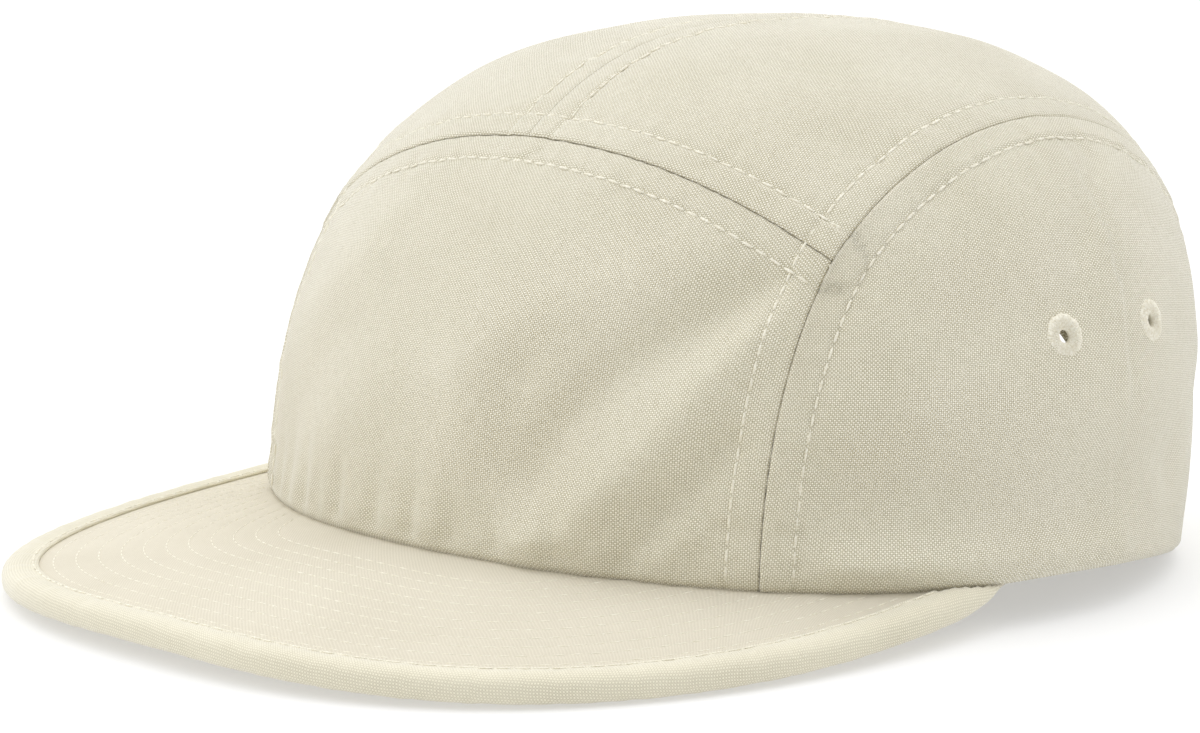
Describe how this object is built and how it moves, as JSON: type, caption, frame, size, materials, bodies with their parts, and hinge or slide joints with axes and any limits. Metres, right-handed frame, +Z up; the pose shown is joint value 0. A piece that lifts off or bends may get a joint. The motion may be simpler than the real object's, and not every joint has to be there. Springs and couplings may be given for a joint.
{
  "type": "five panel cap",
  "caption": "Soft cloth cap with a low panelled crown, a flat bound brim, sewn eyelets and a back strap.",
  "frame": {"origin": "middle of the cap's footprint on the surface that it stands on", "axes": "+Z up, the brim points to -Y, and +X is the wearer's left"},
  "size_m": [0.1952, 0.2414, 0.104],
  "materials": {
    "canvas": "plain woven cotton canvas",
    "binding": "canvas binding cut on the bias",
    "sweatband": "plain cotton twill band",
    "webbing": "flat woven strap",
    "thread": "close satin stitches",
    "buckle": "moulded, matt"
  },
  "bodies": {
    "root": {"front_panel": "canvas", "top_panel_left": "canvas", "top_panel_right": "canvas", "side_panel_left": "canvas", "side_panel_right": "canvas", "brim": "canvas", "brim_binding": "binding", "sweatband": "sweatband", "back_strap": "webbing", "strap_buckle": "buckle", "eyelet_left_front": "thread", "eyelet_left_rear": "thread", "eyelet_right_front": "thread", "eyelet_right_rear": "thread"}
  },
  "joints": []
}
